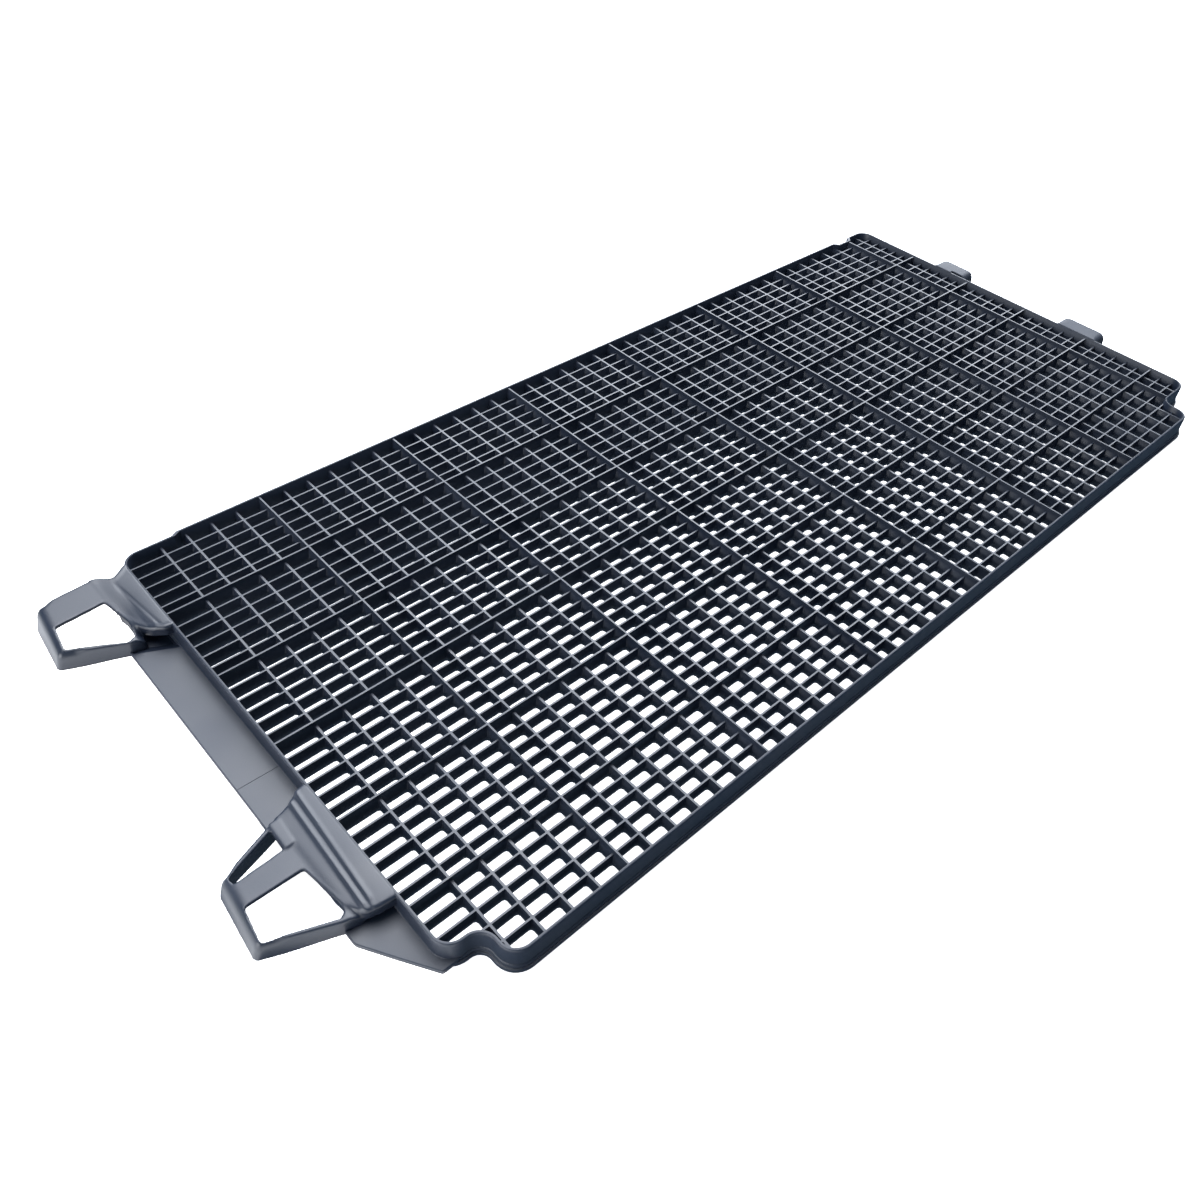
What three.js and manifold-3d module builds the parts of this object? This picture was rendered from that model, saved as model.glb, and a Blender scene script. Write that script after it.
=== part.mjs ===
// Frame-sized plastic queen excluder: a two-way grille of bars in a stepped rim, with two
// pull handles and a flat end plate on one short side and two locating lugs on the other.
// Millimetres, +Z up. +X runs from the handles to the lugs, +Y to the side with the shallow
// corner steps. The origin is at the middle of the underside of the whole object's box.
import * as THREE from 'three';
import { mergeVertices } from 'three/addons/utils/BufferGeometryUtils.js';
import Module from 'manifold-3d';

const wasm = await Module();
wasm.setup();

// ---------------------------------------------------------------- driving dimensions
const GAP = 0.3; // clearance left between neighbouring features

const PITCH_X = 10.4; // from one crosswise bar to the next
const PITCH_Y = 6.0; // from one lengthwise bar to the next
const CROSS_BARS = 42;
const LONG_BARS = 34;
const MAIN_STEP = 6; // every sixth bar is a taller main bar
const FIRST_MAIN_CROSS = 5;
const BAR_WIDTH = 1.6; // leaves the 4.4 mm slot that a worker bee passes
const MAIN_WIDTH = 1.0;

const RIM_TOP = 10.5;
const MAIN_TOP = 10.0;
const BAR_TOP = 8.1;
const BAR_BOTTOM = 2.2;
const STEP_TOP = 3.0; // upper step of the foot
const FOOT_TOP = 1.6; // lower step of the foot
const WALL = 1.1;
const STEP_OUT = 1.7; // how far the steps stand out from the wall's inner face
const FOOT_OUT = 2.4;

const HALF_WIDTH = 105.2; // middle of the object to a long wall's inner face
const HANDLE_REACH = 265.7; // middle bar gap of the grille to the handles' outer end
const LUG_REACH = 231.3; // the same to the lugs' outer edge
const SHIFT_X = (HANDLE_REACH - LUG_REACH) / 2; // puts the whole box's middle on X = 0
const INNER_LEFT = -227.4 + SHIFT_X; // inner face of the short wall with the handles
const INNER_RIGHT = 219.6 + SHIFT_X; // inner face of the short wall with the lugs

const PLATE_TOP = STEP_TOP;
const PLATE_THICK = 2.0;
const PLATE_EDGE = -243.3 + SHIFT_X; // outer edge of the end plate
const SHEET = 1.6; // wall thickness of handles and lugs
const FAR_LOOP_ROOT = [64.6, 100.6]; // each loop's range along Y where it meets its deck
const NEAR_LOOP_ROOT = [-67.0, -26.0];
const REACH = 400; // larger than the object, for cutting boxes

// ---------------------------------------------------------------- solids
function toManifold(geometry) {
  geometry.deleteAttribute('normal');
  geometry.deleteAttribute('uv');
  const merged = mergeVertices(geometry, 1e-4);
  const mesh = new wasm.Mesh({
    numProp: 3,
    vertProperties: new Float32Array(merged.attributes.position.array),
    triVerts: new Uint32Array(merged.index.array),
  });
  return new wasm.Manifold(mesh);
}

function toGeometry(solid) {
  const mesh = solid.getMesh();
  const geometry = new THREE.BufferGeometry();
  geometry.setAttribute('position', new THREE.BufferAttribute(mesh.vertProperties, 3));
  geometry.setIndex(new THREE.BufferAttribute(mesh.triVerts, 1));
  geometry.computeVertexNormals();
  return geometry;
}

function box(x0, x1, y0, y1, z0, z1) {
  const geometry = new THREE.BoxGeometry(x1 - x0, y1 - y0, z1 - z0);
  geometry.translate((x0 + x1) / 2, (y0 + y1) / 2, (z0 + z1) / 2);
  return toManifold(geometry);
}

// A closed outline from corners [x, y, radius], each corner rounded by a true arc.
function roundedPath(corners, segments = 5) {
  const points = [];
  corners.forEach(([x, y, radius], k) => {
    const corner = new THREE.Vector2(x, y);
    if (!radius) {
      points.push(corner);
      return;
    }
    const count = corners.length;
    const before = new THREE.Vector2(...corners[(k + count - 1) % count]).sub(corner).normalize();
    const after = new THREE.Vector2(...corners[(k + 1) % count]).sub(corner).normalize();
    const half = Math.acos(THREE.MathUtils.clamp(before.dot(after), -1, 1)) / 2;
    const centre = before.clone().add(after).normalize().multiplyScalar(radius / Math.sin(half));
    centre.add(corner);
    const start = before.clone().multiplyScalar(radius / Math.tan(half)).add(corner).sub(centre);
    const end = after.clone().multiplyScalar(radius / Math.tan(half)).add(corner).sub(centre);
    let turn = end.angle() - start.angle();
    turn = THREE.MathUtils.euclideanModulo(turn + Math.PI, 2 * Math.PI) - Math.PI;
    for (let n = 0; n <= segments; n += 1) {
      const angle = start.angle() + (turn * n) / segments;
      points.push(new THREE.Vector2(radius * Math.cos(angle), radius * Math.sin(angle)).add(centre));
    }
  });
  return points;
}

function prism(outline, z0, z1, holes = []) {
  const shape = new THREE.Shape(outline);
  holes.forEach((hole) => shape.holes.push(new THREE.Path(hole)));
  const geometry = new THREE.ExtrudeGeometry(shape, { depth: z1 - z0, bevelEnabled: false });
  geometry.translate(0, 0, z0);
  return toManifold(geometry);
}

// A profile of [x, z] points pushed along Y from y0 to y1.
function slab(profile, y0, y1) {
  const shape = new THREE.Shape(profile.map(([x, z]) => new THREE.Vector2(x, z)));
  const geometry = new THREE.ExtrudeGeometry(shape, { depth: y1 - y0, bevelEnabled: false });
  geometry.rotateX(Math.PI / 2); // local Z becomes -Y, local Y becomes Z
  geometry.translate(0, y1, 0);
  return toManifold(geometry);
}

// ---------------------------------------------------------------- rim
// The wall's inner face, going round anticlockwise. The two corners on the -Y side are cut
// out by deep steps, the two on the +Y side by shallow ones. out moves every face outwards.
const NOTCH_Y = -91.9;
const NOTCH_LEFT = -214.6 + SHIFT_X;
const NOTCH_RIGHT = 195.0 + SHIFT_X;
const SHALLOW = 1.4; // depth of the step at the +Y corner beside the handles
const DEEP = 2.6; // depth of the dip near the +Y corner beside the lugs
const LOBE = 206.5 + SHIFT_X; // the dip lies between this and DIP
const DIP = 191.5 + SHIFT_X;
const LOBE_RAMP = 2.5; // length of the slope at each side of a step
const STEP_START = -204.5 + SHIFT_X; // the shallow step runs from here to the corner
const CONVEX = 5.5; // corner radii of the wall's inner face
const CONCAVE = 6.5;
const SMALL = 1.0;

function rimPath(out) {
  const convex = CONVEX + out;
  const concave = CONCAVE - out;
  const left = INNER_LEFT - out;
  const right = INNER_RIGHT + out;
  const near = -HALF_WIDTH - out;
  const far = HALF_WIDTH + out;
  const notch = NOTCH_Y - out;
  return roundedPath([
    [left, notch, convex],
    [NOTCH_LEFT - out, notch, concave],
    [NOTCH_LEFT - out, near, convex],
    [NOTCH_RIGHT + out, near, convex],
    [NOTCH_RIGHT + out, notch, concave],
    [right, notch, convex],
    [right, far, convex],
    [LOBE - out, far, SMALL],
    [LOBE - LOBE_RAMP - out, far - DEEP, SMALL],
    [DIP + LOBE_RAMP + out, far - DEEP, SMALL],
    [DIP + out, far, SMALL],
    [STEP_START - out, far, SMALL],
    [STEP_START - LOBE_RAMP - out, far - SHALLOW, SMALL],
    [left, far - SHALLOW, convex],
  ]);
}

const END_NEAR = -84.0; // the short rails lie between these two planes
const END_FAR = 95.0;

// The wall and its two steps all start below the underside, which the keep box then cuts.
function rimSection(stepped, keep) {
  const starts = [-1, -2, -3, -4];
  let solid = prism(rimPath(WALL), starts[0], RIM_TOP);
  if (stepped) {
    solid = solid.add(prism(rimPath(STEP_OUT), starts[1], STEP_TOP));
    solid = solid.add(prism(rimPath(FOOT_OUT), starts[2], FOOT_TOP));
  }
  return solid.subtract(prism(rimPath(0), starts[3], REACH)).intersect(keep);
}

const rimParts = {
  rim_near_side: rimSection(true, box(-REACH, REACH, -REACH, END_NEAR - GAP, 0, REACH)),
  rim_far_side: rimSection(true, box(-REACH, REACH, END_FAR + GAP, REACH, 0, REACH)),
  rim_handle_end: rimSection(false, box(-REACH, 0, END_NEAR, END_FAR, 0, REACH)),
  rim_lug_end: rimSection(true, box(0, REACH, END_NEAR, END_FAR, 0, REACH)),
};

// ---------------------------------------------------------------- grille
// Three layers of one grille: crosswise bars below, lengthwise bars above them, and the
// raised upper edges of the main bars on top. Each layer has its own edge frame.
const LAYER_SPLIT = (BAR_BOTTOM + BAR_TOP) / 2;
const FRAME_WIDTH = 1.2;
const MIDDLE = SHIFT_X; // middle of the bar pattern

function crossX(index) {
  return MIDDLE + (index - (CROSS_BARS + 1) / 2) * PITCH_X;
}

function longY(index) {
  return ((LONG_BARS + 1) / 2 - index) * PITCH_Y;
}

function isMainCross(index) {
  return index % MAIN_STEP === FIRST_MAIN_CROSS;
}

function isMainLong(index) {
  return index % MAIN_STEP === 0;
}

function crossBar(index, width) {
  const x = crossX(index);
  return box(x - width / 2, x + width / 2, -REACH, REACH, -REACH, REACH);
}

function longBar(index, width) {
  const y = longY(index);
  return box(-REACH, REACH, y - width / 2, y + width / 2, -REACH, REACH);
}

function barsFrom(count, wanted, make) {
  const indices = Array.from({ length: count }, (_, n) => n + 1);
  return indices.filter(wanted).map(make);
}

// A plate that fills the rim, with everything between the bars and the frame cut away.
function layer(bars, z0, z1) {
  const slots = bars.reduce(
    (solid, bar) => solid.subtract(bar),
    prism(rimPath(-GAP - FRAME_WIDTH), z0 - 1, z1 + 1),
  );
  return prism(rimPath(-GAP), z0, z1).subtract(slots);
}

const crossTop = LAYER_SPLIT - GAP / 2;
const longBottom = LAYER_SPLIT + GAP / 2;
const mainBottom = BAR_TOP + GAP;
const grilleParts = {
  grille_crosswise_bars: layer(
    barsFrom(CROSS_BARS, () => true, (n) => crossBar(n, BAR_WIDTH)),
    BAR_BOTTOM,
    crossTop,
  ),
  grille_lengthwise_bars: layer(
    barsFrom(LONG_BARS, () => true, (n) => longBar(n, BAR_WIDTH)),
    longBottom,
    BAR_TOP,
  ),
  grille_main_bars: layer(
    [
      ...barsFrom(CROSS_BARS, isMainCross, (n) => crossBar(n, MAIN_WIDTH)),
      ...barsFrom(LONG_BARS, isMainLong, (n) => longBar(n, MAIN_WIDTH)),
    ],
    mainBottom,
    MAIN_TOP,
  ),
};

// ---------------------------------------------------------------- end plate
// A flat plate at the level of the foot, running under both handles and tapering to the
// corners at its two ends. It is cut back where the handles' openings are.
const PLATE_FAR = 98.5; // where the plate's full width ends on each side
const PLATE_NEAR = -70.5;
const PLATE_TIP_FAR = 106.0;
const PLATE_TIP_NEAR = -93.5;
const PLATE_TAPER = [-236.0 + SHIFT_X, -81.5]; // bend in the tapering edge of the -Y end
const ROOM_DEPTH = 11.5; // from the short wall's outer face to the cut-back edge

function buildEndPlate() {
  const inner = INNER_LEFT + WALL;
  const outline = roundedPath([
    [PLATE_EDGE, PLATE_FAR, 4],
    [PLATE_EDGE, PLATE_NEAR, 4],
    [...PLATE_TAPER, 30],
    [INNER_LEFT - FOOT_OUT, PLATE_TIP_NEAR, 0],
    [inner, PLATE_TIP_NEAR, 0],
    [inner, PLATE_TIP_FAR, 0],
    [INNER_LEFT - FOOT_OUT, PLATE_TIP_FAR, 3],
  ]);
  const corners = prism(rimPath(FOOT_OUT + GAP), -1, REACH).subtract(
    box(-REACH, REACH, END_NEAR - GAP, END_FAR + GAP, -2, REACH + 1),
  );
  const roomEdge = INNER_LEFT - WALL - ROOM_DEPTH;
  const handleRoom = (y0, y1) => box(-REACH, roomEdge, y0 - GAP, y1 + GAP, -1, REACH);
  return prism(outline, PLATE_TOP - PLATE_THICK, PLATE_TOP)
    .subtract(prism(rimPath(WALL + GAP), -1, REACH))
    .subtract(corners)
    .subtract(handleRoom(FAR_LOOP_ROOT[0], FAR_LOOP_ROOT[1]))
    .subtract(handleRoom(NEAR_LOOP_ROOT[0], NEAR_LOOP_ROOT[1]));
}

// ---------------------------------------------------------------- handles
const DECK_INNER = INNER_LEFT - WALL - GAP;
const DECK_OUTER = -241.4 + SHIFT_X;
const DECK_LOW = 8.2; // top of the deck where the loop starts
const SKIRT_DEPTH = 4.8; // how far the deck's end cheeks reach down
const CHEEK_INSET = 0.2;

// The deck slopes from the rim's top down to the loop and carries two raised beads.
function deckProfile() {
  const top = [
    [DECK_INNER, RIM_TOP],
    [DECK_INNER - 3.4, 9.9],
    [DECK_INNER - 4.0, 10.3],
    [DECK_INNER - 4.7, 9.7],
    [DECK_INNER - 5.5, 9.5],
    [DECK_INNER - 6.2, 10.0],
    [DECK_INNER - 7.0, 9.2],
    [DECK_OUTER, DECK_LOW],
  ];
  const under = [
    [DECK_OUTER, DECK_LOW - SHEET],
    [DECK_INNER, RIM_TOP - SHEET - 0.4],
  ];
  return [...top, ...under];
}

// The deck seen from above, from y0 to y1 at the rim. Both ends draw in towards the loop.
function deckPlan(y0, y1, nearDraw, farDraw, thinner) {
  return roundedPath([
    [DECK_OUTER - 1, y0 + nearDraw + thinner, 0],
    [DECK_INNER + 1, y0 + thinner, 0],
    [DECK_INNER + 1, y1 - thinner, 0],
    [DECK_OUTER - 1, y1 - farDraw - thinner, 0],
  ]);
}

function buildDeck(y0, y1, nearDraw, farDraw) {
  const cheek = [
    [DECK_INNER - CHEEK_INSET, RIM_TOP - 0.8],
    [DECK_OUTER + CHEEK_INSET, DECK_LOW - 0.6],
    [DECK_OUTER + CHEEK_INSET, DECK_LOW - SKIRT_DEPTH],
    [DECK_INNER - CHEEK_INSET, RIM_TOP - SKIRT_DEPTH],
  ];
  const plan = (thinner) => prism(deckPlan(y0, y1, nearDraw, farDraw, thinner), -1, REACH);
  const cheeks = plan(CHEEK_INSET).subtract(plan(CHEEK_INSET + SHEET));
  const sheet = slab(deckProfile(), y0, y1).intersect(plan(0));
  return sheet.add(slab(cheek, y0, y1).intersect(cheeks));
}

// A loop is a thin top sheet with finger openings and a skirt below it. Its outer end leans
// outwards towards the bottom by LEAN per millimetre of height.
const LOOP_TOP = 8.2;
const LOOP_BOTTOM = 0.6;
const LEAN = 0.32;

function leanOut(geometry, from, to) {
  const position = geometry.attributes.position;
  for (let n = 0; n < position.count; n += 1) {
    const along = THREE.MathUtils.clamp((from - position.getX(n)) / (from - to), 0, 1);
    const drop = LOOP_TOP - position.getZ(n);
    position.setX(n, position.getX(n) - along * LEAN * drop);
  }
  return geometry;
}

function buildLoop(outer, openings, skirtHole) {
  const skirt = prism(outer, LOOP_BOTTOM, LOOP_TOP).subtract(
    prism(skirtHole, LOOP_BOTTOM - 1, LOOP_TOP - SHEET),
  );
  const joined = openings.reduce(
    (solid, opening) => solid.subtract(prism(opening, LOOP_BOTTOM - 1, LOOP_TOP + 1)),
    skirt,
  );
  return toManifold(leanOut(toGeometry(joined), LOOP_ROOT, LOOP_TIP));
}

const LOOP_ROOT = DECK_OUTER - GAP;
const LOOP_TIP = -(HANDLE_REACH - LEAN * (LOOP_TOP - LOOP_BOTTOM)) + SHIFT_X;
const MOUTH = LOOP_ROOT + 2; // the openings run out at the deck's edge

// Each outline below goes from the +Y side of the root round the outer end to the -Y side.
function buildFarLoop() {
  const outer = roundedPath([
    [LOOP_ROOT, FAR_LOOP_ROOT[1], 0],
    [LOOP_TIP + 1.2, 99.4, 2.5],
    [LOOP_TIP, 75.2, 2.5],
    [LOOP_ROOT, FAR_LOOP_ROOT[0], 0],
  ]);
  const opening = roundedPath([
    [MOUTH, 88.0, 0],
    [LOOP_TIP + 3.0, 86.8, 1.5],
    [LOOP_TIP + 1.8, 77.6, 2],
    [MOUTH, 66.0, 0],
  ]);
  const skirtHole = roundedPath([
    [MOUTH, 99.0, 0],
    [LOOP_TIP + 2.6, 97.8, 1],
    [LOOP_TIP + 1.5, 77.3, 1],
    [MOUTH, 66.3, 0],
  ]);
  return buildLoop(outer, [opening], skirtHole);
}

function buildNearLoop() {
  const outer = roundedPath([
    [LOOP_ROOT, NEAR_LOOP_ROOT[1], 0],
    [LOOP_TIP + 0.6, -32.4, 2],
    [LOOP_TIP, -57.6, 3],
    [LOOP_ROOT, NEAR_LOOP_ROOT[0], 0],
  ]);
  const opening = roundedPath([
    [MOUTH, -44.6, 0],
    [LOOP_TIP + 2.0, -45.0, 1.5],
    [LOOP_TIP + 1.8, -56.2, 2],
    [MOUTH, -66.0, 0],
  ]);
  const triangle = roundedPath([
    [MOUTH, -27.6, 0],
    [LOOP_TIP + 2.2, -34.4, 0.6],
    [LOOP_TIP + 2.0, -36.6, 0.6],
    [MOUTH, -36.2, 0],
  ]);
  const skirtHole = roundedPath([
    [MOUTH, -27.6, 0],
    [LOOP_TIP + 1.7, -34.4, 1],
    [LOOP_TIP + 1.5, -55.9, 1],
    [MOUTH, -65.7, 0],
  ]);
  return buildLoop(outer, [opening, triangle], skirtHole);
}

// ---------------------------------------------------------------- lugs
// A lug is a hood on the short wall: its flat top is level with the rim, its two ends roll
// down to the foot, its outer side is closed and it is open below.
const LUG_TOP = RIM_TOP + 0.4;
const LUG_FOOT = 3.6;
const LUG_ROLL = 5; // length of each rolled end along Y
const ROLL_SEGMENTS = 8;
const FAR_LUG = [35.6, 56.6]; // each lug's range along Y
const NEAR_LUG = [-45, -20.5];

// The hood's section in Y and Z, made smaller by thinner on every side but the foot.
function lugShape(y0, y1, thinner) {
  const shape = new THREE.Shape();
  const across = LUG_ROLL - thinner;
  const up = LUG_TOP - LUG_FOOT - thinner;
  for (let n = 0; n <= ROLL_SEGMENTS; n += 1) {
    const angle = (Math.PI / 2) * (2 - n / ROLL_SEGMENTS);
    const y = y0 + LUG_ROLL + across * Math.cos(angle);
    shape[n ? 'lineTo' : 'moveTo'](y, LUG_FOOT + up * Math.sin(angle));
  }
  for (let n = 0; n <= ROLL_SEGMENTS; n += 1) {
    const angle = (Math.PI / 2) * (1 - n / ROLL_SEGMENTS);
    shape.lineTo(y1 - LUG_ROLL + across * Math.cos(angle), LUG_FOOT + up * Math.sin(angle));
  }
  return shape;
}

function alongX(shape, x0, x1) {
  const geometry = new THREE.ExtrudeGeometry(shape, { depth: x1 - x0, bevelEnabled: false });
  geometry.rotateX(Math.PI / 2);
  geometry.rotateZ(Math.PI / 2); // the shape now lies in Y and Z
  geometry.translate(x0, 0, 0);
  return toManifold(geometry);
}

function buildLug(y0, y1) {
  const x0 = INNER_RIGHT + WALL + GAP;
  const x1 = LUG_REACH + SHIFT_X;
  const hollow = alongX(lugShape(y0, y1, SHEET), x0 - 1, x1 - SHEET);
  const mouth = box(x0 - 1, x1 - SHEET, y0 + SHEET, y1 - SHEET, 0, LUG_FOOT + GAP);
  return alongX(lugShape(y0, y1, 0), x0, x1).subtract(hollow.add(mouth));
}

// ---------------------------------------------------------------- the object
const plastic = (color) => new THREE.MeshStandardMaterial({ color, roughness: 0.45, metalness: 0 });
const queenExcluder = new THREE.Group();

function addPiece(name, solid, color = 0x23272e) {
  const mesh = new THREE.Mesh(toGeometry(solid), plastic(color));
  mesh.name = name;
  queenExcluder.add(mesh);
}

Object.entries(rimParts).forEach(([name, solid]) => addPiece(name, solid));
Object.entries(grilleParts).forEach(([name, solid]) => addPiece(name, solid, 0x2b3038));
addPiece('end_plate', buildEndPlate());
addPiece('far_handle_deck', buildDeck(61.4, 99.6, 3.4, 0));
addPiece('far_handle_loop', buildFarLoop());
addPiece('near_handle_deck', buildDeck(-71.0, -23.4, 4.0, 1.4));
addPiece('near_handle_loop', buildNearLoop());
addPiece('far_lug', buildLug(...FAR_LUG));
addPiece('near_lug', buildLug(...NEAR_LUG));

export default queenExcluder;
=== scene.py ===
"""Visual model of the queen excluder: one black moulding with a slotted grille, a stepped rim,
an end plate, two finger handles and two lugs. Lengths are in millimetres until a mesh is made."""
import math
from itertools import product

import bpy
import numpy as np
from mathutils import Matrix, Vector


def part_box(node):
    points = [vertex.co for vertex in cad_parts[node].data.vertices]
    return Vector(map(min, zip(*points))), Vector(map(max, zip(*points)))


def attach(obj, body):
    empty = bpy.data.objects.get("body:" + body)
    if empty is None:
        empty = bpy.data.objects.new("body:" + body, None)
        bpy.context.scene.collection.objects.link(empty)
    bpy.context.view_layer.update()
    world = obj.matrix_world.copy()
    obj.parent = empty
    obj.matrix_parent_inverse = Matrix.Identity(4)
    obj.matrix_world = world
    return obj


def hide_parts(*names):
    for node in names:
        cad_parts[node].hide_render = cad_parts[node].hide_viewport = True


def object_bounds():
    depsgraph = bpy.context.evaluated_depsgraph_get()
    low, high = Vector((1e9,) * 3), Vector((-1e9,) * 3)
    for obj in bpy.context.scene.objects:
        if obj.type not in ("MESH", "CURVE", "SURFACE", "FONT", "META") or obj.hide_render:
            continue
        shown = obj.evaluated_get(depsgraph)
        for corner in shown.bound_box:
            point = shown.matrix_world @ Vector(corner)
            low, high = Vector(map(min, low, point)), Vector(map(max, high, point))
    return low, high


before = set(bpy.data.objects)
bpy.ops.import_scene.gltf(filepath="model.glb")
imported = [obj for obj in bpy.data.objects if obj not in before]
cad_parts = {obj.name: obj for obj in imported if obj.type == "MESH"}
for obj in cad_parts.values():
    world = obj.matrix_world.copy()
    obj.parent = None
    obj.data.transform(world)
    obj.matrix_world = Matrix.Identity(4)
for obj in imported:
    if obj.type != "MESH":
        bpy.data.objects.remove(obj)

CAD_BOX = [list(corner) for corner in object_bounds()]
MM = 0.001
BODY = "root"


# ------------------------------------------------------------------ places from the CAD frame
def corners_mm(node):
    """The low and high corners of a CAD node's box."""
    low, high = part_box(node)
    return low / MM, high / MM


handle_wall_low, handle_wall_high = corners_mm("rim_handle_end")
lug_wall_low, lug_wall_high = corners_mm("rim_lug_end")
near_side_low, near_side_high = corners_mm("rim_near_side")
plate_low, plate_high = corners_mm("end_plate")
far_lug_low, far_lug_high = corners_mm("far_lug")
near_lug_low, near_lug_high = corners_mm("near_lug")

FOOT_OUT = lug_wall_high.x - lug_wall_low.x  # from the wall's inner face to the foot's edge
INNER_LEFT = handle_wall_high.x
INNER_RIGHT = lug_wall_low.x
HALF_WIDTH = -near_side_low.y - FOOT_OUT
RIM_TOP = near_side_high.z
MAIN_TOP = corners_mm("grille_main_bars")[1].z
BAR_TOP = corners_mm("grille_lengthwise_bars")[1].z
BAR_BOTTOM = corners_mm("grille_crosswise_bars")[0].z
PLATE_TOP = plate_high.z
PLATE_BOTTOM = plate_low.z
WALL_FACE = handle_wall_low.x  # outer face of the short wall that the handles grow from

# ------------------------------------------------------------------ driving dimensions
PITCH_X = 10.4  # from one crosswise bar to the next
PITCH_Y = 6.0  # from one lengthwise bar to the next
CROSS_BARS = 42
LONG_BARS = 34
MAIN_STEP = 6  # every sixth bar is a main bar
FIRST_MAIN_CROSS = 5
BAR_MIDDLE = 17.2  # middle of the bar pattern along X
STEP_TOP = 3.0  # top of the foot's upper step
STEP_OUT = 1.7  # how far that step stands out from the wall's inner face
FOOT_TOP = 1.6  # top of the foot's lower step
NOTCH_Y = -91.9  # the wall's inner face in the near side's two deep corner steps
NOTCH_LEFT = -197.4  # where the corner step at the handles ends
NOTCH_RIGHT = 212.2  # where the corner step at the lugs starts
SHALLOW = 1.4  # depth of the far wall's shallow step
DEEP = 2.6  # depth of the far wall's dip
LOBE = 223.7  # the dip in the far wall lies between this and DIP
DIP = 208.7
STEP_START = -187.3  # the shallow step runs from here to the corner
STEP_RAMP = 2.5


# ------------------------------------------------------------------ meshes
def make_mesh(name, points, faces):
    """A new object from points in millimetres."""
    mesh = bpy.data.meshes.new(name)
    mesh.from_pydata([tuple(c * MM for c in p) for p in points], [], faces)
    mesh.validate()
    mesh.update()
    obj = bpy.data.objects.new(name, mesh)
    bpy.context.scene.collection.objects.link(obj)
    return obj


def apply_modifiers(obj):
    """Puts the result of obj's modifiers into its mesh."""
    depsgraph = bpy.context.evaluated_depsgraph_get()
    mesh = bpy.data.meshes.new_from_object(obj.evaluated_get(depsgraph))
    old = obj.data
    obj.modifiers.clear()
    obj.data = mesh
    mesh.name = obj.name
    bpy.data.meshes.remove(old)


def carve(obj, cutter):
    """Cuts the cutter from obj and removes the cutter."""
    modifier = obj.modifiers.new("carve", "BOOLEAN")
    modifier.operation = "DIFFERENCE"
    modifier.solver = "MANIFOLD"
    modifier.object = cutter
    apply_modifiers(obj)
    bpy.data.objects.remove(cutter)


def smooth(obj, angle):
    """Smooth shading with sharp edges above the angle, in degrees."""
    obj.data.polygons.foreach_set("use_smooth", [True] * len(obj.data.polygons))
    obj.data.set_sharp_from_angle(angle=math.radians(angle))


def ring_faces(rings, count, start=0):
    """Quads between rings of count points each, every ring following the one before it."""
    faces = []
    for r in range(rings - 1):
        low = start + r * count
        high = low + count
        for k in range(count):
            after = (k + 1) % count
            faces.append((low + k, low + after, high + after, high + k))
    return faces


def many_stacks(name, stacks):
    """One object holding a closed solid for each stack of outlines, as stack() makes it."""
    points = []
    faces = []
    for rings in stacks:
        count = len(rings[0])
        start = len(points)
        points += [p for ring in rings for p in ring]
        faces += ring_faces(len(rings), count, start)
        faces.append(tuple(range(start + count - 1, start - 1, -1)))
        top = start + (len(rings) - 1) * count
        faces.append(tuple(range(top, top + count)))
    return make_mesh(name, points, faces)


def stack(name, rings):
    """A closed solid from a stack of outlines, lowest first, each anticlockwise from above."""
    return many_stacks(name, [rings])


def rounded_path(corners, segments):
    """A closed outline from corners (x, y, radius), each rounded by an arc."""
    points = []
    count = len(corners)
    for k, (x, y, radius) in enumerate(corners):
        corner = Vector((x, y))
        if not radius:
            points.append(corner)
            continue
        before = (Vector(corners[k - 1][:2]) - corner).normalized()
        after = (Vector(corners[(k + 1) % count][:2]) - corner).normalized()
        half = math.acos(max(-1, min(1, before.dot(after)))) / 2
        centre = corner + (before + after).normalized() * (radius / math.sin(half))
        start = corner + before * (radius / math.tan(half)) - centre
        end = corner + after * (radius / math.tan(half)) - centre
        first = math.atan2(start.y, start.x)
        turn = math.atan2(end.y, end.x) - first
        turn = (turn + math.pi) % (2 * math.pi) - math.pi
        for n in range(segments + 1):
            angle = first + turn * n / segments
            points.append(centre + Vector((math.cos(angle), math.sin(angle))) * radius)
    return points


def at_height(outline, z):
    """The outline's points at one height."""
    return [(p[0], p[1], z) for p in outline]


# ------------------------------------------------------------------ rim
RIM_SEGMENTS = 10
CONVEX = 5.5
CONCAVE = 6.5
SMALL = 1.0
# The wall's section as (outwards, up): a drafted wall with a rounded shoulder on two steps.
RIM_SECTION = [
    (0.0, 0.12),
    (0.0, RIM_TOP - 0.1),
    (0.08, RIM_TOP),
    (0.62, RIM_TOP - 0.01),
    (0.82, RIM_TOP - 0.09),
    (0.97, RIM_TOP - 0.27),
    (1.06, RIM_TOP - 0.55),
    (1.11, RIM_TOP - 1.0),
    (1.16, RIM_TOP - 2.2),
    (1.3, STEP_TOP + 0.35),
    (1.4, STEP_TOP + 0.08),
    (1.5, STEP_TOP),
    (STEP_OUT - 0.08, STEP_TOP - 0.03),
    (STEP_OUT, STEP_TOP - 0.15),
    (STEP_OUT + 0.04, FOOT_TOP + 0.15),
    (STEP_OUT + 0.14, FOOT_TOP),
    (FOOT_OUT - 0.1, FOOT_TOP - 0.03),
    (FOOT_OUT, FOOT_TOP - 0.15),
    (FOOT_OUT, 0.15),
    (FOOT_OUT - 0.12, 0.0),
    (0.12, 0.0),
]


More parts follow.
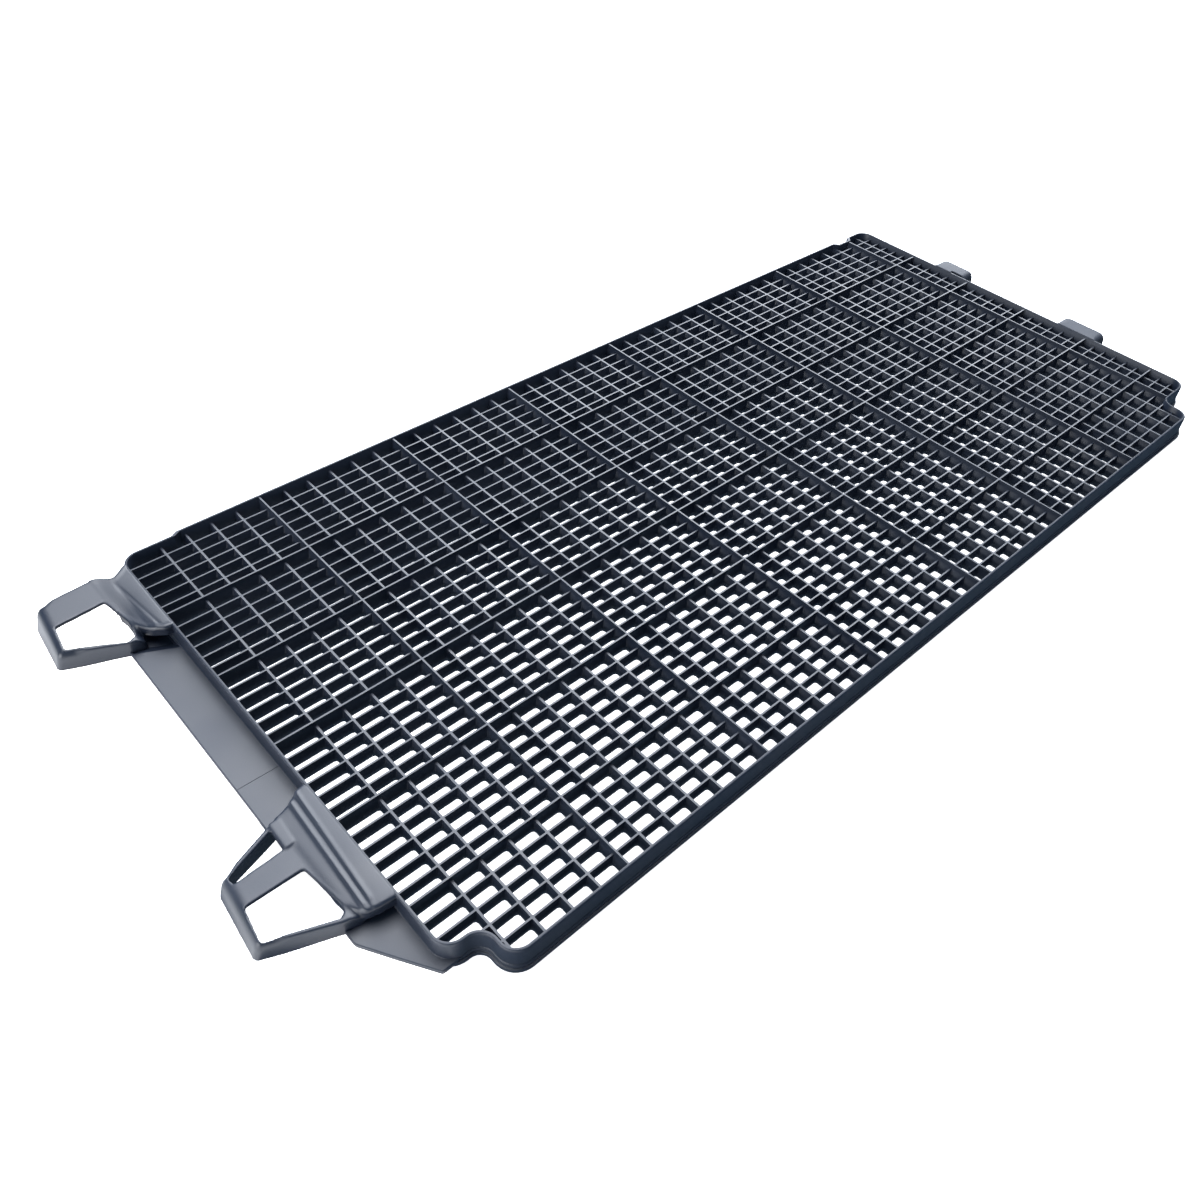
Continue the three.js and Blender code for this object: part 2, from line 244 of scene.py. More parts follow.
def rim_path(out):
    """The wall's outline, moved outwards from its inner face, anticlockwise."""
    convex = CONVEX + out
    concave = CONCAVE - out
    left = INNER_LEFT - out
    right = INNER_RIGHT + out
    near = -HALF_WIDTH - out
    far = HALF_WIDTH + out
    notch = NOTCH_Y - out
    return rounded_path(
        [
            (left, notch, convex),
            (NOTCH_LEFT - out, notch, concave),
            (NOTCH_LEFT - out, near, convex),
            (NOTCH_RIGHT + out, near, convex),
            (NOTCH_RIGHT + out, notch, concave),
            (right, notch, convex),
            (right, far, convex),
            (LOBE - out, far, SMALL),
            (LOBE - STEP_RAMP - out, far - DEEP, SMALL),
            (DIP + STEP_RAMP + out, far - DEEP, SMALL),
            (DIP + out, far, SMALL),
            (STEP_START - out, far, SMALL),
            (STEP_START - STEP_RAMP - out, far - SHALLOW, SMALL),
            (left, far - SHALLOW, convex),
        ],
        RIM_SEGMENTS,
    )


def build_rim():
    """The wall's section carried round its outline as one closed ring."""
    rings = [at_height(rim_path(out), z) for out, z in RIM_SECTION]
    count = len(rings[0])
    points = [p for ring in rings for p in ring]
    faces = ring_faces(len(rings), count)
    last = (len(rings) - 1) * count
    for k in range(count):
        after = (k + 1) % count
        faces.append((last + k, last + after, after, k))
    faces = [tuple(reversed(face)) for face in faces]
    rim = make_mesh("rim", points, faces)
    smooth(rim, 40)
    return rim


# ------------------------------------------------------------------ grille
# Height, half a crosswise bar's width, half a lengthwise bar's width and the window's corner
# radius: a rounded keel under a thin drafted blade.
BAR_SECTION = [
    (BAR_BOTTOM, 0.32, 0.22, 1.1),
    (BAR_BOTTOM + 0.8, 0.72, 0.64, 1.0),
    (BAR_BOTTOM + 2.2, 0.86, 0.80, 0.9),
    (BAR_BOTTOM + 3.1, 0.82, 0.76, 0.8),
    (BAR_BOTTOM + 3.7, 0.56, 0.46, 0.45),
    (BAR_TOP, 0.40, 0.30, 0.2),
]
MAIN_HALF = (0.37, 0.29)  # half a main bar's raised edge, at its foot and at its top
WINDOW_SEGMENTS = 2
PAST = 3.0  # how far the outermost windows are cut past the wall's inner face
INTO_WALL = 0.3  # how far the bars' ends reach into the wall


def bar_lines(count, pitch, middle, low, high):
    """Bar middles in rising order, between the two walls."""
    bars = [middle + (k - (count + 1) / 2) * pitch for k in range(1, count + 1)]
    return [low, *bars, high]


def window_rings(x0, x1, y0, y1, at_wall):
    """Outlines of one window's cutter. at_wall says which of its sides lie on the rim."""
    below = (BAR_BOTTOM - 1, *BAR_SECTION[0][1:])
    above = (BAR_TOP + 0.4, *BAR_SECTION[-1][1:])
    rings = []
    for z, cross, long, radius in [below, *BAR_SECTION, above]:
        left, right = (-PAST if wall else cross for wall in at_wall[:2])
        near, far = (-PAST if wall else long for wall in at_wall[2:])
        outline = rounded_path(
            [
                (x0 + left, y0 + near, radius),
                (x1 - right, y0 + near, radius),
                (x1 - right, y1 - far, radius),
                (x0 + left, y1 - far, radius),
            ],
            WINDOW_SEGMENTS,
        )
        rings.append(at_height(outline, z))
    return rings


def main_reliefs(xs, ys):
    """Cutters over the fields between the raised main bars."""
    mains_x = [xs[0], *xs[FIRST_MAIN_CROSS:-1:MAIN_STEP], xs[-1]]
    first_main_long = (LONG_BARS + 1) % MAIN_STEP
    mains_y = [ys[0], *ys[first_main_long:-1:MAIN_STEP], ys[-1]]
    last_x = len(mains_x) - 2
    last_y = len(mains_y) - 2
    reliefs = []
    for i, j in product(range(last_x + 1), range(last_y + 1)):
        rings = []
        for z, half in ((BAR_TOP, MAIN_HALF[0]), (MAIN_TOP + 1, MAIN_HALF[1])):
            x0 = mains_x[i] + (-PAST if i == 0 else half)
            x1 = mains_x[i + 1] - (-PAST if i == last_x else half)
            y0 = mains_y[j] + (-PAST if j == 0 else half)
            y1 = mains_y[j + 1] - (-PAST if j == last_y else half)
            rings.append(at_height([(x0, y0), (x1, y0), (x1, y1), (x0, y1)], z))
        reliefs.append(rings)
    return reliefs


def slot_windows(xs, ys):
    """Cutters for the slots, one between each pair of neighbouring bars both ways."""
    windows = []
    for i, j in product(range(len(xs) - 1), range(len(ys) - 1)):
        at_wall = (i == 0, i == len(xs) - 2, j == 0, j == len(ys) - 2)
        windows.append(window_rings(xs[i], xs[i + 1], ys[j], ys[j + 1], at_wall))
    return windows


def build_grille():
    """A plate that fills the rim, cut down to its bars."""
    outline = rim_path(INTO_WALL)
    grille = stack("grille", [at_height(outline, BAR_BOTTOM), at_height(outline, MAIN_TOP)])
    xs = bar_lines(CROSS_BARS, PITCH_X, BAR_MIDDLE, INNER_LEFT, INNER_RIGHT)
    ys = bar_lines(LONG_BARS, PITCH_Y, 0, -HALF_WIDTH, HALF_WIDTH)
    carve(grille, many_stacks("reliefs", main_reliefs(xs, ys)))
    carve(grille, many_stacks("windows", slot_windows(xs, ys)))
    smooth(grille, 50)
    return grille


# ------------------------------------------------------------------ shapes from distance fields
def surface_net(name, field, low, step):
    """The zero surface of a field sampled on a grid, as quads. The field is negative inside."""
    size = np.array(field.shape) - 1
    total = np.zeros((*size, 3))
    hits = np.zeros(tuple(size))

    def part(array, offset):
        return array[tuple(slice(o, o + n) for o, n in zip(offset, size))]

    for axis in range(3):
        others = [a for a in range(3) if a != axis]
        for sides in product((0, 1), repeat=2):
            start = [0, 0, 0]
            start[others[0]], start[others[1]] = sides
            end = list(start)
            end[axis] = 1
            a = part(field, start)
            b = part(field, end)
            crossed = (a < 0) != (b < 0)
            share = np.where(crossed, a / np.where(crossed, a - b, 1), 0)
            for k in range(3):
                place = share if k == axis else start[k]
                total[..., k] += np.where(crossed, place, 0)
            hits += crossed
    used = hits > 0
    number = np.full(tuple(size), -1)
    number[used] = np.arange(used.sum())
    cells = np.argwhere(used)
    points = (cells + total[used] / hits[used][:, None]) * step + np.array(low)

    faces = []
    for axis in range(3):
        b, c = (axis + 1) % 3, (axis + 2) % 3
        first = [slice(1, -1)] * 3
        first[axis] = slice(0, -1)
        second = list(first)
        second[axis] = slice(1, None)
        inside = field[tuple(first)] < 0
        outside = field[tuple(second)] < 0
        for flip in (False, True):
            chosen = inside & ~outside if not flip else outside & ~inside
            where = np.argwhere(chosen)
            where[:, [b, c]] += 1
            quads = []
            for db, dc in ((-1, -1), (0, -1), (0, 0), (-1, 0)):
                cell = where.copy()
                cell[:, b] += db
                cell[:, c] += dc
                quads.append(number[tuple(cell.T)])
            quads = np.stack(quads, 1)
            faces.append(quads[:, ::-1] if flip else quads)
    faces = np.concatenate(faces)
    return make_mesh(name, points.tolist(), faces.tolist())


def smin(a, b, radius):
    """Joins two fields with a fillet."""
    h = np.maximum(radius - np.abs(a - b), 0) / radius
    return np.minimum(a, b) - h * h * radius / 4


def smax(a, b, radius):
    """Keeps what two fields share, with a rounded edge."""
    return -smin(-a, -b, radius)


def polygon(x, y, corners):
    """Signed distance to a polygon, negative inside."""
    best = np.full(np.broadcast(x, y).shape, np.inf)
    inside = np.zeros(best.shape, bool)
    for k, (ax, ay) in enumerate(corners):
        bx, by = corners[k - 1]
        ex, ey = bx - ax, by - ay
        wx, wy = x - ax, y - ay
        t = np.clip((wx * ex + wy * ey) / (ex * ex + ey * ey), 0, 1)
        best = np.minimum(best, (wx - ex * t) ** 2 + (wy - ey * t) ** 2)
        crosses = (ay > y) != (by > y)
        side = x < ex * (y - ay) / (ey or 1) + ax
        inside ^= crosses & side
    return np.where(inside, -1, 1) * np.sqrt(best)


def ramp(value, start, end):
    """0 before start, 1 after end and smooth between."""
    t = np.clip((value - start) / (end - start), 0, 1)
    return t * t * (3 - 2 * t)


# ------------------------------------------------------------------ handles
# u runs outwards from the short wall's outer face, so X = WALL_FACE - u.
SHEET = 1.3  # thickness of the tops
SKIRT = 1.7  # thickness of the skirts below the decks' ends
LEAN = 0.3  # how far the loops' outer ends lean outwards per millimetre down
DECK_REACH = 12.6
NET_STEP = 0.4  # grid step of the distance fields
GUSSET_DROP = 3.6  # how far a loop's top dips towards the wall at its -Y arm
GUSSET_RUN = 6  # length of that dip
LOOP_WALL = 2.0  # the loops' outlines below run this far inside their outer faces
LOOP_BOTTOM = PLATE_BOTTOM - 0.3
NEAR_LOOP_TOP = 8.2
NEAR_TIP = 33  # outer end of the near loop's top
FAR_TIP = 31
FAR_LOOP_END = 99.5  # here the far loop's top is level with the rim
FAR_LOOP_FALL = 0.09  # how much it falls per millimetre towards -Y


def past_curve(u, y, curve):
    """Distance past a curve through (u, y) points, towards +Y."""
    curve_u, curve_y = zip(*curve)
    fine = np.linspace(curve_u[0], curve_u[-1], 200)
    height = np.interp(fine, curve_u, curve_y)
    height = np.convolve(np.pad(height, 12, mode="edge"), np.ones(25) / 25, "valid")
    slope = np.gradient(height, fine)
    return (y - np.interp(u, fine, height)) / np.sqrt(1 + np.interp(u, fine, slope) ** 2)


def ridge(value, width):
    """A smooth ridge of height 1 where value is 0."""
    return np.exp(-((value / width) ** 2))


def deck_field(u, y, z, top, near_curve, far_curve, roll, depths):
    """The bridge from the rim to the loop, with a skirt below each of its two ends."""
    past_near = -past_curve(u, y, near_curve)
    past_far = past_curve(u, y, far_curve)
    ends = np.maximum(past_near, past_far)
    plan = smax(ends, u - DECK_REACH, 0.6)
    sheet = smax(smax(plan, z - top, roll), top - SHEET - z, 0.4)
    near_skirt = np.maximum(-past_near - SKIRT, top - depths[0] - z)
    far_skirt = np.maximum(-past_far - SKIRT, top - depths[1] - z)
    skirts = smax(np.minimum(near_skirt, far_skirt), plan, 0.5)
    skirts = smax(skirts, z - top, roll)
    return np.maximum(smin(sheet, skirts, 0.8), -1.0 - u)


def loop_field(u, y, z, top, outline, windows, tip):
    """A shallow upside-down tray with finger openings, its outer end leaning outwards."""
    drop = np.clip(top - z, 0, None)
    leaned = u - LEAN * drop * ramp(u, DECK_REACH + 2, tip)
    plan = polygon(leaned, y, outline)
    roll = 0.8 + 2.6 * ramp(u, tip - 6, tip - 1)
    body = smax(plan - LOOP_WALL, z - top, roll)
    body = smax(body, LOOP_BOTTOM - z, 0.5)
    inside = np.maximum(plan - 0.5, z - top + SHEET)
    shell = smax(body, -inside, 0.5)
    for window, corner in windows:
        shell = smax(shell, corner - polygon(u, y, window), 0.35)
    return shell


def grid(u_high, y_low, y_high, z_low, z_high):
    """Sample places for a handle: u from inside the wall outwards."""
    u = np.arange(-1.5, u_high, NET_STEP)
    y = np.arange(y_low, y_high, NET_STEP)
    z = np.arange(z_low, z_high, NET_STEP)
    return np.meshgrid(u, y, z, indexing="ij")


def relax(obj):
    """Evens out the net's small steps."""
    modifier = obj.modifiers.new("relax", "SMOOTH")
    modifier.factor = 0.5
    modifier.iterations = 2
    apply_modifiers(obj)
    smooth(obj, 60)


def net_to_object(name, field, low):
    """Meshes a handle's field and turns u into X."""
    obj = surface_net(name, field, low, NET_STEP)
    obj.data.transform(Matrix.Diagonal((-1, 1, 1, 1)))
    obj.data.flip_normals()
    obj.data.transform(Matrix.Translation((WALL_FACE * MM, 0, 0)))
    relax(obj)
    return obj


def far_deck_top(u, y):
    """A band beside the rim, two grooves that run together at +Y, and a sloping face."""
    first = 2.7 + 0.11 * (y - 65)
    second = 4.8 + 0.06 * (y - 68)
    open_part = ramp(y, 64, 68) * (1 - ramp(y, 88, 97))
    grooves = 0.2 * ridge(u - first, 0.45) + 0.16 * ridge(u - second, 0.4)
    slope = 0.26 * (1 - ramp(y, 72, 97))
    fall = 0.018 * np.clip(u, 0, 6) ** 2 + 0.12 * ramp(u, second - 0.2, second + 1.2)
    fall = fall + slope * np.clip(u - second, 0, None)
    return RIM_TOP - fall * (1 - 0.8 * ramp(y, 78, 99)) - grooves * open_part


def build_far_handle():
    """The far deck, and a loop whose top slopes down from the deck's height towards -Y."""
    u, y, z = grid(39, 58, 105, -1, 13)
    gusset = ramp(12.4 - u, 0, GUSSET_RUN) * (1 - ramp(y, 69, 73))
    loop_top = RIM_TOP - FAR_LOOP_FALL * (FAR_LOOP_END - y) - GUSSET_DROP * gusset
    outline = [
        (5, 98.8),
        (29.6, 97.3),
        (31.9, 77.0),
        (13.4, 68.6),
        (9.5, 68.2),
        (5, 69.5),
    ]
    window = [
        (13.2, 87.3),
        (29.4, 86.3),
        (30.6, 77.3),
        (13.8, 68.5),
        (11.9, 69.4),
        (10.8, 75.3),
    ]
    loop = loop_field(u, y, z, loop_top, outline, [(window, 0.8)], FAR_TIP)
    loop = smax(loop, 7.6 + ramp(y, 80, 95) - u, 3.0)
    near_curve = [(-2, 62.4), (2.4, 63.1), (5.7, 66.2), (8.0, 69.8), (9.4, 73.4), (14, 84)]
    far_curve = [(-2, 101.2), (0, 100.6), (3, 98.3), (5.5, 96.8), (7.5, 98.4), (9.5, 100), (14, 101)]
    joined = ramp(y, 70, 80)  # towards +Y the deck runs into the loop without a step
    deck_top = far_deck_top(u, y)
    deck_top = deck_top + (loop_top - deck_top) * ramp(u, 7, 12.5) * joined
    deck = deck_field(u, y, z, deck_top, near_curve, far_curve, 1.2, (4.3, 7.0))
    deck = np.maximum(deck, 0.8 - polygon(u, y, window))
    field = smin(loop, deck, 1.4 - 1.2 * joined)
    return net_to_object("far_handle", field, (-1.5, 58, -1))


def near_deck_top(u, y):
    """A band beside the rim, two beads that draw apart from it towards -Y, and a steeper face."""
    first = 3.2 + 0.058 * (-24.5 - y)
    second = 6.0 + 0.048 * (-24.5 - y)
    part = ramp(y, -67.5, -65.5)
    beads = 0.34 * ridge(u - first, 0.6) + 0.2 * ridge(u - second, 0.5)
    valleys = 0.4 * ramp(u, first + 0.3, first + 1.3) + 0.45 * ramp(u, second + 0.2, second + 1.4)
    fall = 0.015 * np.clip(u, 0, 5) ** 2 + valleys
    fall = fall + 0.15 * np.clip(u - second, 0, None)
    return RIM_TOP - fall + beads * part


def near_tab(u, y, z):
    """A small raised tab along the outer edge of the near deck, beside the triangle."""
    corners = [(11.6, -27), (14.1, -27), (14.3, -35.8), (12.2, -35.8)]
    return smax(polygon(u, y, corners) - 0.5, np.abs(z - NEAR_LOOP_TOP + 0.6) - 1.1, 0.4)


def build_near_handle():
    """The near deck, and a level loop with a brace between its window and a triangle."""
    u, y, z = grid(41, -75, -19, -1, 13)
    gusset = ramp(12.8 - u, 0, GUSSET_RUN) * (1 - ramp(y, -65, -61))
    loop_top = NEAR_LOOP_TOP - GUSSET_DROP * gusset
    outline = [
        (7, -27.2),
        (14.2, -28.2),
        (31.6, -34.6),
        (33.6, -56.0),
        (14.2, -64.6),
        (10.4, -65.6),
        (6, -65.6),
    ]
    window = [
        (15.1, -46.2),
        (32.1, -45.9),
        (33.6, -56.2),
        (14.7, -63.9),
        (13.6, -63.3),
        (13.0, -61.2),
    ]
    triangle = [(15.6, -28.9), (31.4, -34.5), (31.2, -36.4), (15.9, -35.6)]
    loop = loop_field(u, y, z, loop_top, outline, [(window, 0.8), (triangle, 0.4)], NEAR_TIP)
    loop = np.maximum(loop, 7.0 - u)
    near_curve = [(-2, -70.8), (5, -69.8), (8.5, -68.6), (10.6, -66.2), (12, -62.5), (14, -56)]
    far_curve = [(-2, -21.0), (2.5, -21.7), (6, -23.6), (9.9, -24.9), (14, -25.6)]
    deck_top = near_deck_top(u, y)
    deck = deck_field(u, y, z, deck_top, near_curve, far_curve, 2.4, (4.8, 6.5))
    deck = np.minimum(deck, near_tab(u, y, z))
    for opening, corner in ((window, 0.8), (triangle, 0.4)):
        deck = np.maximum(deck, corner - polygon(u, y, opening))
    field = smin(loop, deck, 1.2)
    return net_to_object("near_handle", field, (-1.5, -75, -1))


# ------------------------------------------------------------------ end plate
PLATE_RADIUS = 4
RECESS_FLOOR = PLATE_TOP - 1.6
HAIRLINE_Y = -6.0
BELOW = -5  # heights clear of the object, for cutters
ABOVE = 20


def from_wall(corners):
    """Turns (u, y) corners into (x, y) ones."""
    return [(WALL_FACE - u, y) for u, y in corners]


def inset(outline, amount):
    """The outline moved inwards."""
    count = len(outline)
    moved = []
    for k, point in enumerate(outline):
        along = (outline[(k + 1) % count] - outline[k - 1]).normalized()
        moved.append(point + Vector((-along.y, along.x)) * amount)
    return moved


def plate_blank():
    """The plate before any cut, with its upper edge rounded."""
    corners = [
        (14.8, 98.5, PLATE_RADIUS),
        (15.0, -71.2, PLATE_RADIUS),
        (8.6, -81.8, 12),
        (1.3, -93.5, 1),
        (-6, -93.5, 1),
        (-6, 106.0, 1),
        (2.0, 106.0, 3),
    ]
    outline = rounded_path([(WALL_FACE - u, y, radius) for u, y, radius in corners], 6)
    section = [
        (0.25, PLATE_BOTTOM),
        (0, PLATE_BOTTOM + 0.25),
        (0, PLATE_TOP - 0.3),
        (0.1, PLATE_TOP - 0.1),
        (0.3, PLATE_TOP),
    ]
    return stack("end_plate", [at_height(inset(outline, amount), z) for amount, z in section])


def cut_prism(plate, name, corners, bottom):
    """Cuts everything above the bottom over (u, y) corners from the plate."""
    outline = from_wall(corners)
    carve(plate, stack(name, [at_height(outline, bottom), at_height(outline, ABOVE)]))


def cut_far_recess(plate):
    """A recess that slopes down under the far deck from a sharp line in front of it."""
    edge = from_wall([(-1, 98), (14.2, 98), (14.2, 65.5), (-1, 57.9)])
    foot = from_wall([(-1, 98), (14.2, 98), (14.2, 69.5), (-1, 61.9)])
    rings = [at_height(foot, RECESS_FLOOR), at_height(edge, PLATE_TOP), at_height(edge, ABOVE)]
    carve(plate, stack("far_recess", rings))


def build_end_plate():
    """The flat plate, with room for the wall and the loops and recesses under the decks."""
    plate = plate_blank()
    path = rim_path(0.6)
    carve(plate, stack("rim_room", [at_height(path, BELOW), at_height(path, ABOVE)]))
    far_room = [(9.6, 99.8), (20, 101.0), (20, 67.2), (9.6, 67.2)]
    cut_prism(plate, "far_room", far_room, BELOW)
    near_room = [(10.2, -26.2), (20, -28.0), (20, -66.0), (10.2, -66.0)]
    cut_prism(plate, "near_room", near_room, BELOW)
    cut_far_recess(plate)
    near_recess = [(-1, -24.5), (14, -27.5), (14, -67.0), (-1, -69.0)]
    cut_prism(plate, "near_recess", near_recess, RECESS_FLOOR)
    hairline = [(0, HAIRLINE_Y), (20, HAIRLINE_Y + 0.3), (20, HAIRLINE_Y + 0.1), (0, HAIRLINE_Y - 0.2)]
    cut_prism(plate, "hairline", hairline, PLATE_TOP - 0.15)
    smooth(plate, 20)
    return plate


# ------------------------------------------------------------------ lugs
LUG_ROLL = 5.0  # length of each turned-down end along Y
LUG_SHEET = 1.4
LUG_EDGE = 2.2  # rounding of the outer edge
LUG_OVERLAP = 1.2  # how far a lug reaches into the wall
LUG_FILLET = 0.3  # rise of the lugs' tops where they meet the wall
LUG_FILLET_RUN = 1.2
FAR_LUG_SLIT = 9.0  # how far the slit between the wall and the far lug's top reaches
SLIT_START = 1.2
SLIT_WIDTH = 0.9


def hood(y, z, low, high, thinner):
    """A flat top that turns down at each end, negative inside."""
    across = LUG_ROLL - thinner
    up = high.z - low.z - thinner
    end = np.maximum(low.y + LUG_ROLL - y, y - high.y + LUG_ROLL)
    end = np.clip(end, 0, None) / across
    rise = np.clip(z - low.z, 0, None) / up
    return ((end ** 3 + rise ** 3) ** (1 / 3) - 1) * across


def build_lug(name, low, high, slit_length=0):
    """A hood open below: a flat top, two turned-down ends and a rounded outer edge."""
    start = (low.x - 3, low.y - 2, 0)
    x = np.arange(start[0], high.x + 2, NET_STEP)
    y = np.arange(start[1], high.y + 2, NET_STEP)
    z = np.arange(start[2], high.z + 2, NET_STEP)
    x, y, z = np.meshgrid(x, y, z, indexing="ij")
    fillet = LUG_FILLET * np.exp(-np.clip(x - low.x, 0, None) / LUG_FILLET_RUN)
    body = hood(y, z, low, high, 0) - fillet
    body = smax(body, x - high.x, LUG_EDGE)
    body = smax(body, low.z - z, 0.3)
    body = np.maximum(body, low.x - LUG_OVERLAP - x)
    body = np.maximum(body, z - high.z)
    hollow = hood(y, z, low, high, LUG_SHEET)
    hollow = np.maximum(hollow, x - high.x + LUG_SHEET)
    field = smax(body, -hollow, 0.4)
    if slit_length:
        slit = np.maximum(x - low.x - SLIT_WIDTH, y - low.y - slit_length)
        slit = np.maximum(slit, low.y + SLIT_START - y)
        field = np.maximum(field, -slit)
    lug = surface_net(name, field, start, NET_STEP)
    relax(lug)
    return lug


# ------------------------------------------------------------------ material
def plastic_material(name, smoothest, roughest):
    """Black polypropylene with a fine mould grain and faint rubbed patches."""
    material = bpy.data.materials.new(name)
    material.use_nodes = True
    nodes = material.node_tree.nodes
    link = material.node_tree.links.new
    shader = nodes["Principled BSDF"]
    shader.inputs["IOR"].default_value = 1.5
    shader.inputs["Specular IOR Level"].default_value = 0.6

    place = nodes.new("ShaderNodeTexCoord")
    cloud = nodes.new("ShaderNodeTexNoise")
    cloud.inputs["Scale"].default_value = 28
    cloud.inputs["Detail"].default_value = 4
    link(place.outputs["Object"], cloud.inputs["Vector"])

    tint = nodes.new("ShaderNodeValToRGB")
    tint.color_ramp.elements[0].position = 0.3
    tint.color_ramp.elements[0].color = (0.004, 0.008, 0.018, 1)
    tint.color_ramp.elements[1].position = 0.75
    tint.color_ramp.elements[1].color = (0.009, 0.015, 0.029, 1)
    link(cloud.outputs["Fac"], tint.inputs["Fac"])
    link(tint.outputs["Color"], shader.inputs["Base Color"])

    gloss = nodes.new("ShaderNodeMapRange")
    gloss.inputs["From Min"].default_value = 0.3
    gloss.inputs["From Max"].default_value = 0.7
    gloss.inputs["To Min"].default_value = smoothest
    gloss.inputs["To Max"].default_value = roughest
    link(cloud.outputs["Fac"], gloss.inputs["Value"])
    link(gloss.outputs["Result"], shader.inputs["Roughness"])

    grain = nodes.new("ShaderNodeTexNoise")
    grain.inputs["Scale"].default_value = 2600
    grain.inputs["Detail"].default_value = 2
    link(place.outputs["Object"], grain.inputs["Vector"])
    relief = nodes.new("ShaderNodeBump")
    relief.inputs["Strength"].default_value = 0.12
    relief.inputs["Distance"].default_value = 0.0001
    link(grain.outputs["Fac"], relief.inputs["Height"])
    link(relief.outputs["Normal"], shader.inputs["Normal"])
    return material


# ------------------------------------------------------------------ stage, light and camera
def pale_material(glow):
    """A pale matt surface that gives off a little light of its own."""
    material = bpy.data.materials.new("pale_floor")
    material.use_nodes = True
    shader = material.node_tree.nodes["Principled BSDF"]
    shader.inputs["Base Color"].default_value = (0.9, 0.9, 0.9, 1)
    shader.inputs["Roughness"].default_value = 0.9
    shader.inputs["Emission Color"].default_value = (1, 1, 1, 1)
    shader.inputs["Emission Strength"].default_value = glow
    return material


def build_sheet(name, x, y, z, glow):
    """A flat pale stage sheet over the ranges x and y at height z, in metres."""
    mesh = bpy.data.meshes.new(name)
    corners = [(x[0], y[0], z), (x[1], y[0], z), (x[1], y[1], z), (x[0], y[1], z)]
    mesh.from_pydata(corners, [], [(0, 1, 2, 3)])
    mesh.materials.append(pale_material(glow))
    sheet = bpy.data.objects.new(name, mesh)
    bpy.context.scene.collection.objects.link(sheet)
    return sheet


FLOOR_HALF = 6  # metres, like the cards' places
CARD_END = -0.6
CARD_HALF = 0.3
CARD_GAP = (-0.064, -0.018)  # left free of cards, beside the near handle


def build_floor():
    """A pale floor, and cards beside the handles that light their outer faces."""
    floor = build_sheet("floor", (-FLOOR_HALF, FLOOR_HALF), (-FLOOR_HALF, FLOOR_HALF), -0.0005, 1.0)
    floor.visible_glossy = False
    tip = CAD_BOX[0][0] - 0.001
    wall = WALL_FACE * MM
    for name, along, across, glow in (
        ("outer_card", (CARD_END, tip), (-CARD_HALF, CARD_HALF), 0.9),
        ("near_card", (tip, wall), (-CARD_HALF, CARD_GAP[0]), 0.5),
        ("far_card", (tip, wall), (CARD_GAP[1], CARD_HALF), 0.5),
    ):
        card = build_sheet(name, along, across, -0.0004, glow)
        card.visible_camera = False


def add_light(name, place, target, size, power, colour):
    """A soft area light at a place, turned to its target, in metres and watts."""
    data = bpy.data.lights.new(name, "AREA")
    data.shape = "RECTANGLE"
    data.size, data.size_y = size
    data.energy = power
    data.color = colour
    light = bpy.data.objects.new(name, data)
    light.location = place
    towards = Vector(target) - Vector(place)
    light.rotation_euler = towards.to_track_quat("-Z", "Y").to_euler()
    bpy.context.scene.collection.objects.link(light)


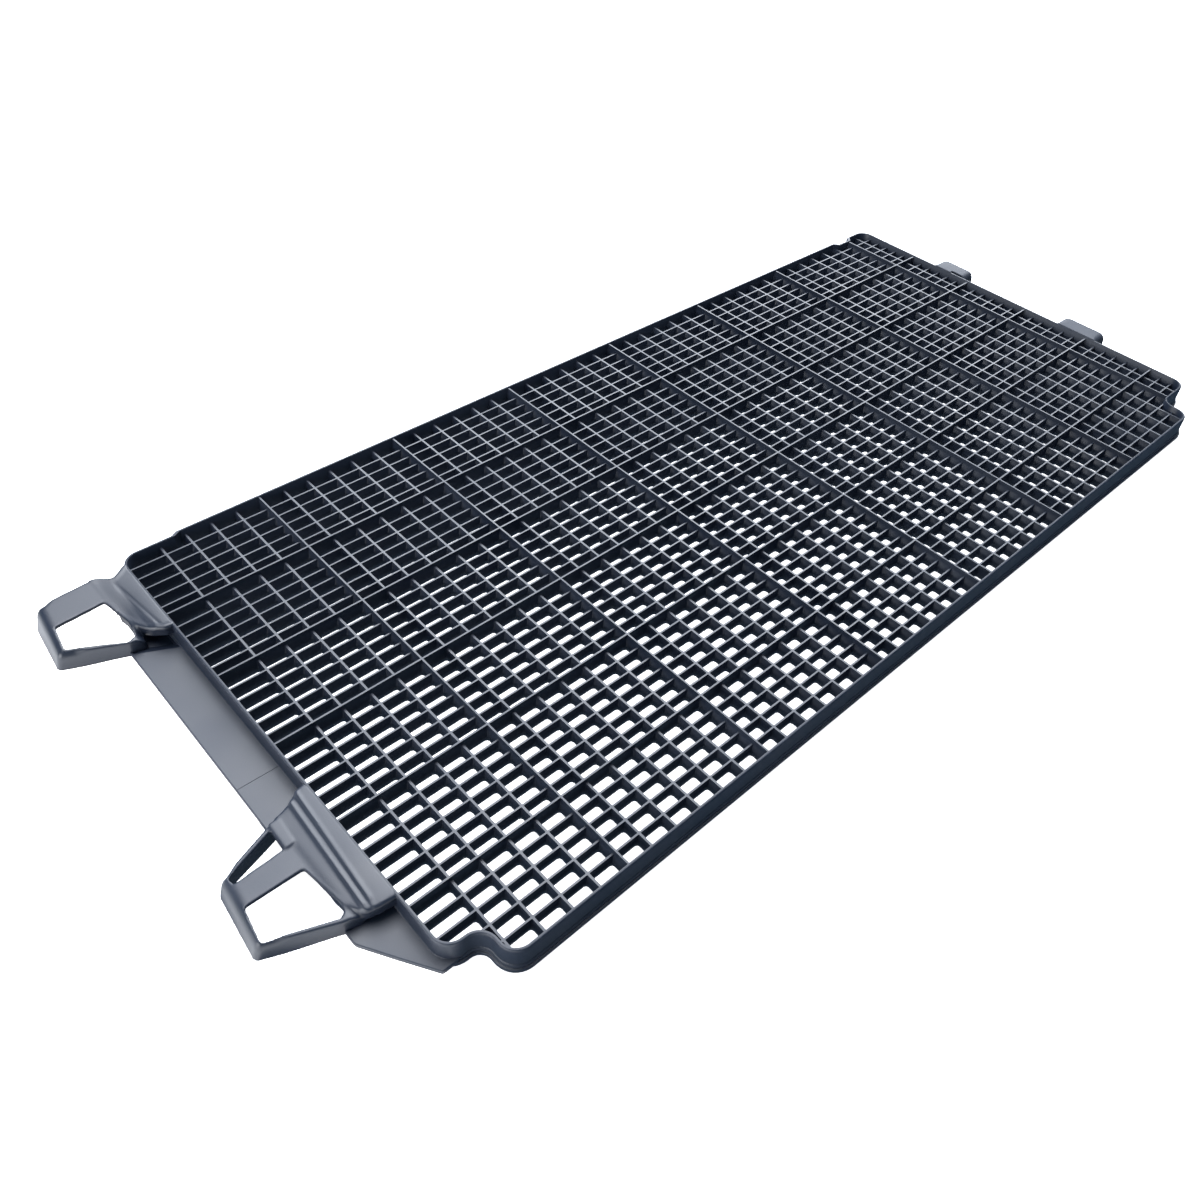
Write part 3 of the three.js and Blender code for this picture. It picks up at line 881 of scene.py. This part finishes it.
def build_lights():
    """A dim blue surround, a large soft window behind, a soft overhead light and a weak one."""
    world = bpy.data.worlds.new("studio")
    bpy.context.scene.world = world
    world.use_nodes = True
    background = world.node_tree.nodes["Background"]
    background.inputs["Color"].default_value = (0.42, 0.68, 1, 1)
    background.inputs["Strength"].default_value = 0.19
    add_light("overhead", (-0.1, 0.55, 1.5), (-0.1, 0.55, 0), (1.4, 1.2), 42, (0.93, 0.95, 1))
    add_light("back_window", (1.15, 1.05, 1.15), (0, 0, 0), (2.2, 1.7), 112, (0.9, 0.94, 1))
    add_light("left_window", (-1.35, -0.1, 0.3), (-0.25, 0, 0), (0.9, 0.4), 14, (0.95, 0.97, 1))


CAMERA_PLACE = (-0.27596, -0.20039, 0.27332)
CAMERA_HEADING = 43.768  # from +X towards +Y, in degrees
CAMERA_PITCH = 45.373
CAMERA_ROLL = 5.234
CAMERA_LENS = 30.46


def build_camera():
    """The camera looks across the object from beside the near handle."""
    data = bpy.data.cameras.new("camera")
    data.lens = CAMERA_LENS
    data.sensor_width = 36
    data.clip_start = 0.01
    camera = bpy.data.objects.new("camera", data)
    turn = Matrix.Rotation(math.radians(CAMERA_HEADING - 90), 4, "Z")
    tilt = Matrix.Rotation(math.radians(90 - CAMERA_PITCH), 4, "X")
    roll = Matrix.Rotation(math.radians(CAMERA_ROLL), 4, "Z")
    camera.matrix_world = Matrix.Translation(CAMERA_PLACE) @ turn @ tilt @ roll
    bpy.context.scene.collection.objects.link(camera)
    bpy.context.scene.camera = camera


# ------------------------------------------------------------------ the object
def place_piece(piece, material, *nodes):
    """Gives a piece its material and puts it in the place of its CAD nodes."""
    piece.data.materials.clear()
    piece.data.materials.append(material)
    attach(piece, BODY)
    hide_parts(*nodes)


build_camera()
build_floor()
build_lights()
bpy.context.scene.view_settings.view_transform = "Standard"

plastic = plastic_material("black_plastic", 0.4, 0.54)
matt_plastic = plastic_material("matt_black_plastic", 0.62, 0.72)
place_piece(build_rim(), plastic, "rim_near_side", "rim_far_side", "rim_handle_end", "rim_lug_end")
place_piece(
    build_grille(), plastic, "grille_crosswise_bars", "grille_lengthwise_bars", "grille_main_bars"
)
place_piece(build_end_plate(), plastic, "end_plate")
place_piece(build_far_handle(), plastic, "far_handle_deck", "far_handle_loop")
place_piece(build_near_handle(), plastic, "near_handle_deck", "near_handle_loop")
far_lug = build_lug("far_locating_lug", far_lug_low, far_lug_high, FAR_LUG_SLIT)
place_piece(far_lug, matt_plastic, "far_lug")
near_lug = build_lug("near_locating_lug", near_lug_low, near_lug_high)
place_piece(near_lug, matt_plastic, "near_lug")
